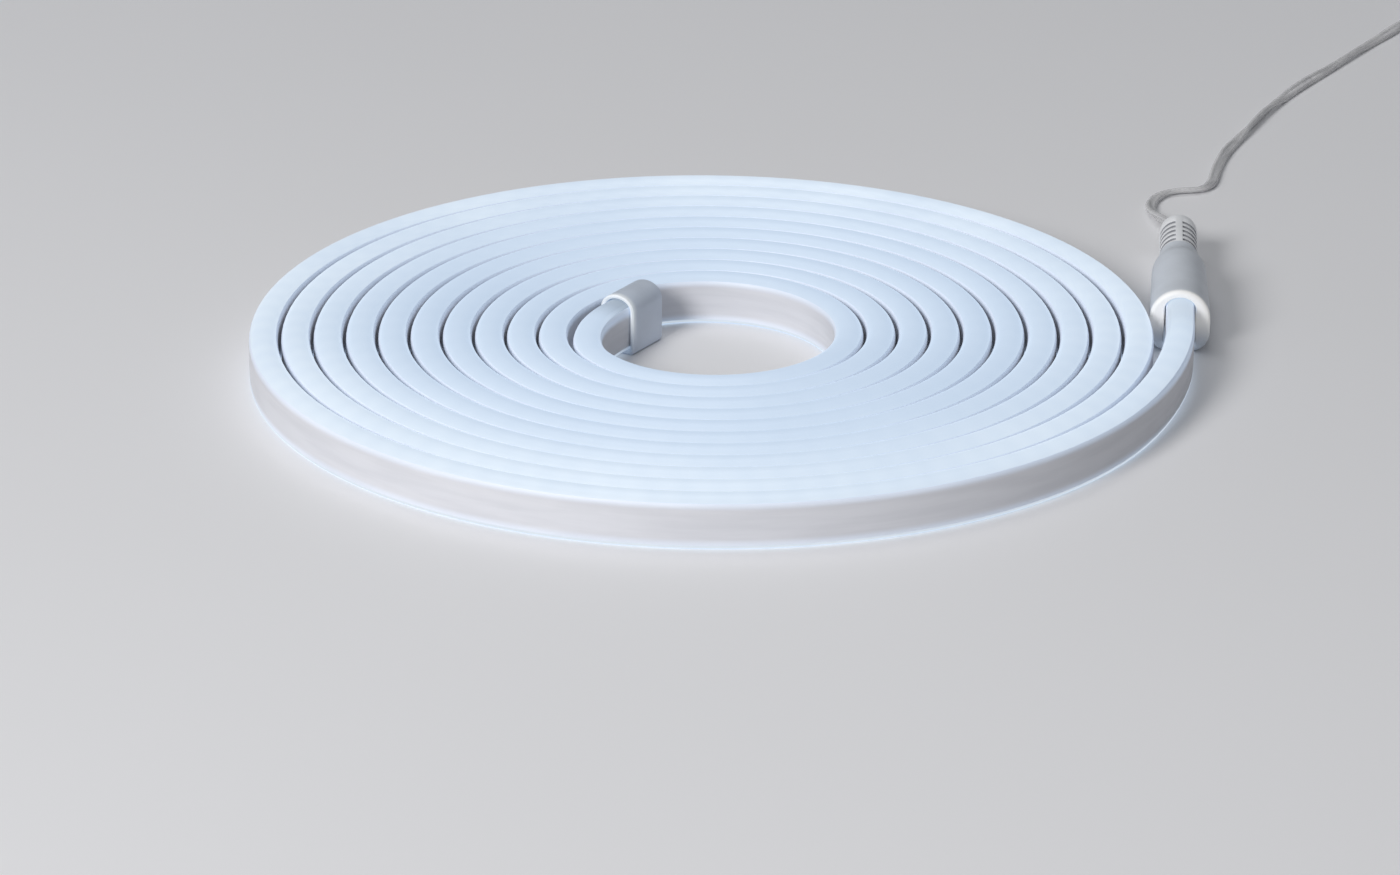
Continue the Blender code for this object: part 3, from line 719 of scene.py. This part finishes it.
def build_relief():
    """Round-ended boot with slots over its shoulders, which leave a ridge along its top."""
    low, high = AXIS_HEIGHT - RELIEF_HEIGHT / 2, AXIS_HEIGHT + RELIEF_HEIGHT / 2
    start, end = HOUSING_LENGTH + FIT, HOUSING_LENGTH + RELIEF_LENGTH
    edge, chamfer, corner = 2.4 * MM, 0.3 * MM, 2.0 * MM

    def ring(inset):
        return arch(RELIEF_WIDTH - 2 * inset, low + inset, high - inset, corner * (1 - inset / (2 * edge)))

    stations = [(start, ring(chamfer)), (start + chamfer, ring(0.0))]
    stations += [(end - edge + edge * sin(a), ring(edge * (1 - cos(a)))) for a in quarter_turn(5)]
    boot = finish("strain_relief_boot", lofted(stations), [RELIEF_SKIN, SLOT_SHADE_SKIN], HOUSING_FRAME)

    # Each cutter goes over one shoulder, and well past the boot's outside
    past, flare = 2.0 * MM, 0.8 * MM
    ridge, half = RIDGE_WIDTH / 2, RELIEF_WIDTH / 2
    shoulder, floor, foot = half - SLOT_SIDE_DEPTH, high - SLOT_TOP_DEPTH, low + SLOT_FOOT
    outline = [(ridge, high + past), (ridge, floor + flare), (ridge + flare, floor), (shoulder, floor),
               (shoulder, foot), (half + past, foot), (half + past, high + past)]
    cutters = []
    for i in range(SLOT_COUNT):
        at = start + SLOT_START + i * SLOT_PITCH
        for side in (1, -1):
            shape = [(side * x, z) for x, z in outline]
            cutter = bpy.data.objects.new("slot", bpy.data.meshes.new("slot"))
            lofted([(at, shape), (at + SLOT_WIDTH, shape)]).to_mesh(cutter.data)
            cutter.data.transform(HOUSING_FRAME)
            # The faces that the cutters leave take the slots' painted shade
            cutter.data.materials.append(RELIEF_SKIN)
            cutter.data.materials.append(SLOT_SHADE_SKIN)
            cutter.data.polygons.foreach_set("material_index", [1] * len(cutter.data.polygons))
            scene.collection.objects.link(cutter)
            cutters.append(cutter)
            step = boot.modifiers.new("slot", "BOOLEAN")
            step.operation, step.solver, step.object = "DIFFERENCE", "EXACT", cutter
    soften(boot, 0.2 * MM, 2, 40)
    settle(boot)
    boot.data.set_sharp_from_angle(angle=radians(40))
    for cutter in cutters:
        bpy.data.objects.remove(cutter)
    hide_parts("strain_relief")


# The lead's way from the winding's centre, in millimetres: out of the boot, one small loop, then off
LEAD_WAY = [
    (128.6, 98.0, 5.0), (126.9, 106.5, 3.2), (124.9, 115.0, 1.7), (124.4, 122.5, 0.8), (125.7, 129.8, 0.8),
    (129.2, 135.3, 0.8), (133.5, 137.5, 0.8), (137.5, 137.2, 0.8), (141.0, 138.9, 0.8), (143.7, 144.6, 0.8),
    (146.8, 158.7, 0.8), (151.9, 175.8, 0.8), (160.7, 197.1, 0.8), (170.4, 219.0, 0.8), (184.6, 243.5, 0.8),
    (204.3, 276.1, 0.8), (216.4, 293.9, 0.8), (221.9, 304.5, 1.6),
]
COIL_PLACE = (247.0, 312.0)
COIL_ENTRY = radians(172)
COIL_EXIT = radians(150)
COIL_TURNS = 6
TAIL_WAY = [(230.0, 330.0, 1.9), (233.0, 337.3, 3.2), (236.6, 342.0, 4.3)]
PLUG_PLACE = (267.0, 348.0)
PLUG_HEADING = radians(8)
# The lead's last points lie on the plug's axis, this far behind its middle
TAIL_BEHIND_PLUG = (25.3 * MM, 17.0 * MM, 9.0 * MM)


def lead_route():
    """The lead's stretch in view, its spare length in rings beside and on each other, and its tail."""
    exit_point = along(HOUSING_MOUTH, HOUSING_HEADING, HOUSING_LENGTH + RELIEF_LENGTH + FIT)
    exit_point.z = AXIS_HEIGHT
    out = exit_point + EXIT_RUN * Vector((cos(HOUSING_HEADING), sin(HOUSING_HEADING), -EXIT_DIP))
    free = [exit_point, out] + [from_centre(*p) for p in LEAD_WAY]

    # On edge, three rings side by side and two high, wound in on the lower row and out on the upper one
    ring = from_centre(*COIL_PLACE)
    total = COIL_ENTRY - COIL_EXIT + tau * COIL_TURNS
    count, half = round(total / tau * COIL_STEPS_A_TURN), COIL_TURNS / 2
    coil = []
    for i in range(count + 1):
        turned_by = total * i / count
        n = turned_by / tau
        radius = COIL_RADIUS + RING_SPREAD * (abs(n - half) / half * 2 - 1)
        angle = COIL_ENTRY - turned_by
        # The rings lie on the strap at their near side, and almost on the table elsewhere
        held = ease(1.6 * cos(angle + pi / 2) - 0.5)
        height = TIE_FLOOR * (0.2 + 0.8 * held) + WIRE_WIDTH / 2
        height += ROW_HEIGHT * passed(n, half - CLIMB_TURNS / 2, CLIMB_TURNS)
        coil.append(Vector((ring.x + radius * cos(angle), ring.y + radius * sin(angle), height)))

    middle = from_centre(*PLUG_PLACE)
    middle.z = PLUG_RADIUS
    tail = [from_centre(*p) for p in TAIL_WAY]
    tail += [along(middle, PLUG_HEADING, -behind) for behind in TAIL_BEHIND_PLUG]
    return free, coil, tail


def build_lead():
    """Clear figure-of-eight jacket with its two stranded cores, twisting a little where it lies loose."""
    free, coil, tail = lead_route()
    line = smooth_line(free + coil + tail, LEAD_STEP)
    for _ in range(LEAD_SMOOTHINGS):
        line[1:-1] = [(a + 2 * b + c) / 4 for a, b, c in zip(line, line[1:], line[2:])]
    reach = WIRE_WIDTH / 2 - WIRE_LOBE
    lobe = [radians(-130 + 26 * i) for i in range(11)]
    outline = [(reach + WIRE_LOBE * cos(a), WIRE_LOBE * sin(a)) for a in lobe]
    outline += [(-x, -z) for x, z in outline]
    length, to_coil = run_length(line), run_length(free)
    from_coil = length - run_length(tail)
    walked, tilts = 0.0, []
    for i, point in enumerate(line):
        walked += (point - line[i - 1]).length if i else 0.0
        # It turns this way and that between the boot and the coil, and stands on edge in the coil
        loose = passed(walked, 0.0, 30 * MM) * (1 - passed(walked, to_coil - 50 * MM, 40 * MM))
        on_edge = passed(walked, to_coil - 25 * MM, 20 * MM) * (1 - passed(walked, from_coil, 20 * MM))
        twist = 0.8 * sin(walked / (12 * MM)) + 0.4 * sin(walked / (29 * MM))
        tilt = loose * twist + on_edge * pi / 2
        tilts.append(tilt)
        point.z = max(point.z, WIRE_LOBE + reach * abs(sin(tilt)) + 0.02 * MM)
    jacket = swept("lead_wire", line, outline, [CLEAR], tilts)
    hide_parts("lead_cord", "lead_coil", "lead_tail")
    around = [tau * i / 8 for i in range(8)]
    for name, side in (("lead_core_first", 1), ("lead_core_second", -1)):
        dot = [(side * reach + CORE_RADIUS * cos(a), CORE_RADIUS * sin(a)) for a in around]
        core = swept(name, line, dot, [STRANDS], tilts)
    return jacket, line, length


def turned(name, profile, mat, where):
    """Lathe a (radius, height) profile: an open one that starts and ends on the axis, or a sleeve's."""
    bm = bmesh.new()
    verts = [bm.verts.new((r, 0.0, z)) for r, z in profile]
    edges = [bm.edges.new(pair) for pair in zip(verts, verts[1:])]
    if profile[0][0] > 0:
        edges.append(bm.edges.new((verts[-1], verts[0])))
    bmesh.ops.spin(bm, geom=verts + edges, angle=tau, steps=LATHE_STEPS, axis=(0, 0, 1), cent=(0, 0, 0),
                   use_merge=True)
    bmesh.ops.remove_doubles(bm, verts=bm.verts, dist=1e-6)
    bmesh.ops.recalc_face_normals(bm, faces=bm.faces)
    return finish(name, bm, [mat], where, sharp=40)


def build_plug():
    """Moulded barrel plug on its side: gripped body, ribbed boot, metal sleeve, insulator and contact."""
    lie = frame_at(from_centre(*PLUG_PLACE), PLUG_HEADING) @ Matrix.Translation((0, 0, PLUG_RADIUS))
    lie = lie @ Matrix.Rotation(-pi / 2, 4, "X")
    half, soft, chamfer = PLUG_LENGTH / 2, 0.9 * MM, 0.2 * MM

    def quarter(radius, height, start, size=soft, steps=6):
        """Round corner of a turned outline, from the given angle and a quarter turn clockwise."""
        turns = [start - a for a in quarter_turn(steps)]
        return [(radius + size * cos(a), height + size * sin(a)) for a in turns]

    seat, floor = BARREL_RADIUS + FIT, half - BARREL_SEAT - FIT
    body = [(0.0, floor), (seat, floor), (seat, half - chamfer), (seat + chamfer, half)]
    body += quarter(PLUG_RADIUS - soft, half - soft, pi / 2)
    for i in range(GRIP_COUNT):
        top = half - GRIP_START - i * GRIP_PITCH
        body += [(PLUG_RADIUS - deep, top - back) for deep, back in GRIP_GROOVE]
    body += quarter(PLUG_RADIUS - soft, soft - half, 0.0)
    body += [(WIRE_BORE, -half), (WIRE_BORE, WIRE_SEAT - half), (0.0, WIRE_SEAT - half)]

    top, end = -half - FIT, -half - FIT - BOOT_LENGTH
    shoulder, tip = 0.5 * MM, 0.4 * MM
    boot = [(WIRE_BORE, top)]
    boot += quarter(BOOT_RADIUS - shoulder, top - shoulder, pi / 2, shoulder, ROUND_STEPS)
    for i in range(RIB_COUNT):
        at = top - RIB_START - i * RIB_PITCH
        wide = BOOT_RADIUS - (BOOT_RADIUS - BOOT_TIP_RADIUS) * (top - at) / BOOT_LENGTH
        boot += [(wide - deep, at - back) for deep, back in RIB]
    boot += quarter(BOOT_TIP_RADIUS - tip, end + tip, 0.0, tip, ROUND_STEPS)
    boot += [(WIRE_BORE, end)]

    def sleeve(outer, inner, high, edge):
        """Outline of an open tube, from the barrel's seat up to its rounded front edge."""
        low = half - BARREL_SEAT
        return [(inner, low), (outer, low), (outer, high - edge), (outer - 0.4 * edge, high - 0.3 * edge),
                (outer - edge, high), (inner + 0.5 * edge, high), (inner, high - 0.5 * edge)]

    front = half + BARREL_REACH
    lining = BARREL_RADIUS - BARREL_WALL - FIT
    barrel = sleeve(BARREL_RADIUS, BARREL_RADIUS - BARREL_WALL, front, chamfer)
    insulator = sleeve(lining, lining - BARREL_WALL, front - 0.4 * MM, chamfer)
    contact = sleeve(lining - BARREL_WALL - FIT, CONTACT_BORE, front - 1.0 * MM, 0.15 * MM)
    pieces = {
        "plug_body": (body, DARK, "dark_plastic"), "plug_boot": (boot, DARK, "dark_plastic"),
        "plug_barrel": (barrel, NICKEL, "nickel"), "plug_insulator": (insulator, DARK, "dark_plastic"),
        "plug_contact": (contact, BRASS, "brass"),
    }
    made = []
    for node, (profile, mat, slot) in pieces.items():
        piece = turned(node + "_turned", profile, mat, lie)
        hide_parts(node)
        made.append(piece)
    return made


def build_tie():
    """Soft rounded strap round the rings."""
    place = Matrix.Translation(from_centre(*COIL_PLACE)) @ Matrix.Rotation(-pi / 2, 4, "Z")
    place = place @ Matrix.Translation((COIL_RADIUS, 0.0, 0.0))
    outline = []
    for side, level, start in ((1, 1, 0.0), (-1, 1, pi / 2), (-1, -1, pi), (1, -1, 1.5 * pi)):
        for a in [start + turn for turn in quarter_turn(6)]:
            outline.append((side * (TIE_SPAN / 2 - TIE_CORNER) + TIE_CORNER * cos(a),
                            TIE_HEIGHT / 2 + level * (TIE_HEIGHT / 2 - TIE_CORNER) + TIE_CORNER * sin(a)))
    bm = bmesh.new()
    loops = []
    for y in (-TIE_WIDTH / 2, TIE_WIDTH / 2):
        ring_verts = [bm.verts.new((x, y, z)) for x, z in outline]
        loops += [bm.edges.new((p, q)) for p, q in zip(ring_verts, ring_verts[1:] + ring_verts[:1])]
    bmesh.ops.bridge_loops(bm, edges=loops)
    bmesh.ops.recalc_face_normals(bm, faces=bm.faces)
    strap = finish("coil_strap", bm, [TIE], place)
    wall = strap.modifiers.new("wall", "SOLIDIFY")
    wall.thickness, wall.offset, wall.use_even_offset = TIE_WALL, -1.0, True
    soften(strap, 0.25 * MM, 3, 50)
    settle(strap)
    strap.data.shade_smooth()
    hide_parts("coil_tie")
    return strap


def dress_cad():
    """Finishes for the solids that stay as they are."""
    finishes = {
        "led_ribbon": FILM, "contact_block": BLOCK, "contact_pin_upper": BRASS, "contact_pin_lower": BRASS,
        "lead_entry": CLEAR,
    }
    for name, mat in finishes.items():
        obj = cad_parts[name]
        for slot in obj.material_slots:
            slot.material = mat


FLOOR_SIZE = 6.0


def set_stage():
    """Plain wide floor."""
    bm = bmesh.new()
    bmesh.ops.create_grid(bm, x_segments=1, y_segments=1, size=FLOOR_SIZE)
    mesh = bpy.data.meshes.new("floor")
    bm.to_mesh(mesh)
    bm.free()
    mesh.materials.append(pale_floor())
    floor = bpy.data.objects.new("floor", mesh)
    scene.collection.objects.link(floor)


def area_light(name, place, size, power, colour):
    """Round soft lamp that faces the origin."""
    data = bpy.data.lights.new(name, "AREA")
    data.shape, data.size, data.energy, data.color = "DISK", size, power, colour
    obj = bpy.data.objects.new(name, data)
    obj.location = place
    obj.rotation_euler = (-Vector(place)).to_track_quat("-Z", "Y").to_euler()
    scene.collection.objects.link(obj)


def set_light():
    """Low even sky, a key lamp at the front left and a weaker one above."""
    world = bpy.data.worlds.new("studio")
    scene.world = world
    world.use_nodes = True
    sky = world.node_tree.nodes["Background"].inputs
    sky["Color"].default_value = (0.95, 0.97, 1.0, 1.0)
    sky["Strength"].default_value = 0.20
    area_light("key", place=(-1.1, -1.5, 1.1), size=0.8, power=31.0, colour=(1.0, 0.99, 0.98))
    area_light("top", place=(-0.2, 0.5, 1.8), size=1.2, power=6.0, colour=(0.96, 0.98, 1.0))


# Camera: long lens, 22 degrees above the table, a hair off level; its focal length is in picture pixels
PICTURE_WIDTH = 1400.0
SENSOR_WIDTH = 36.0
LENS_PIXELS = 5000.0
ELEVATION = radians(22)
ROLL = radians(0.3)
CAMERA_PLACE = from_centre(-1.9, -1205.1, 467.1)
CLIP_END = 50.0


def set_camera():
    data = bpy.data.cameras.new("camera")
    data.sensor_width = SENSOR_WIDTH
    data.lens = LENS_PIXELS * SENSOR_WIDTH / PICTURE_WIDTH
    data.clip_end = CLIP_END
    camera = bpy.data.objects.new("camera", data)
    camera.matrix_world = (Matrix.Translation(CAMERA_PLACE) @ Matrix.Rotation(pi / 2 - ELEVATION, 4, "X")
                           @ Matrix.Rotation(ROLL, 4, "Z"))
    scene.collection.objects.link(camera)
    scene.camera = camera


set_camera()
set_light()
set_stage()
strip, strip_line = build_strip()
cap = build_cap()
build_housing()
build_relief()
lead, lead_line, lead_length = build_lead()
dress_cad()

strip_middle = [tuple(p + Vector((0, 0, STRIP_HEIGHT / 2))) for p in reversed(strip_line)]
run_length(strip_line)
on_lead = build_plug() + [build_tie()]

scene.view_settings.view_transform = "Standard"
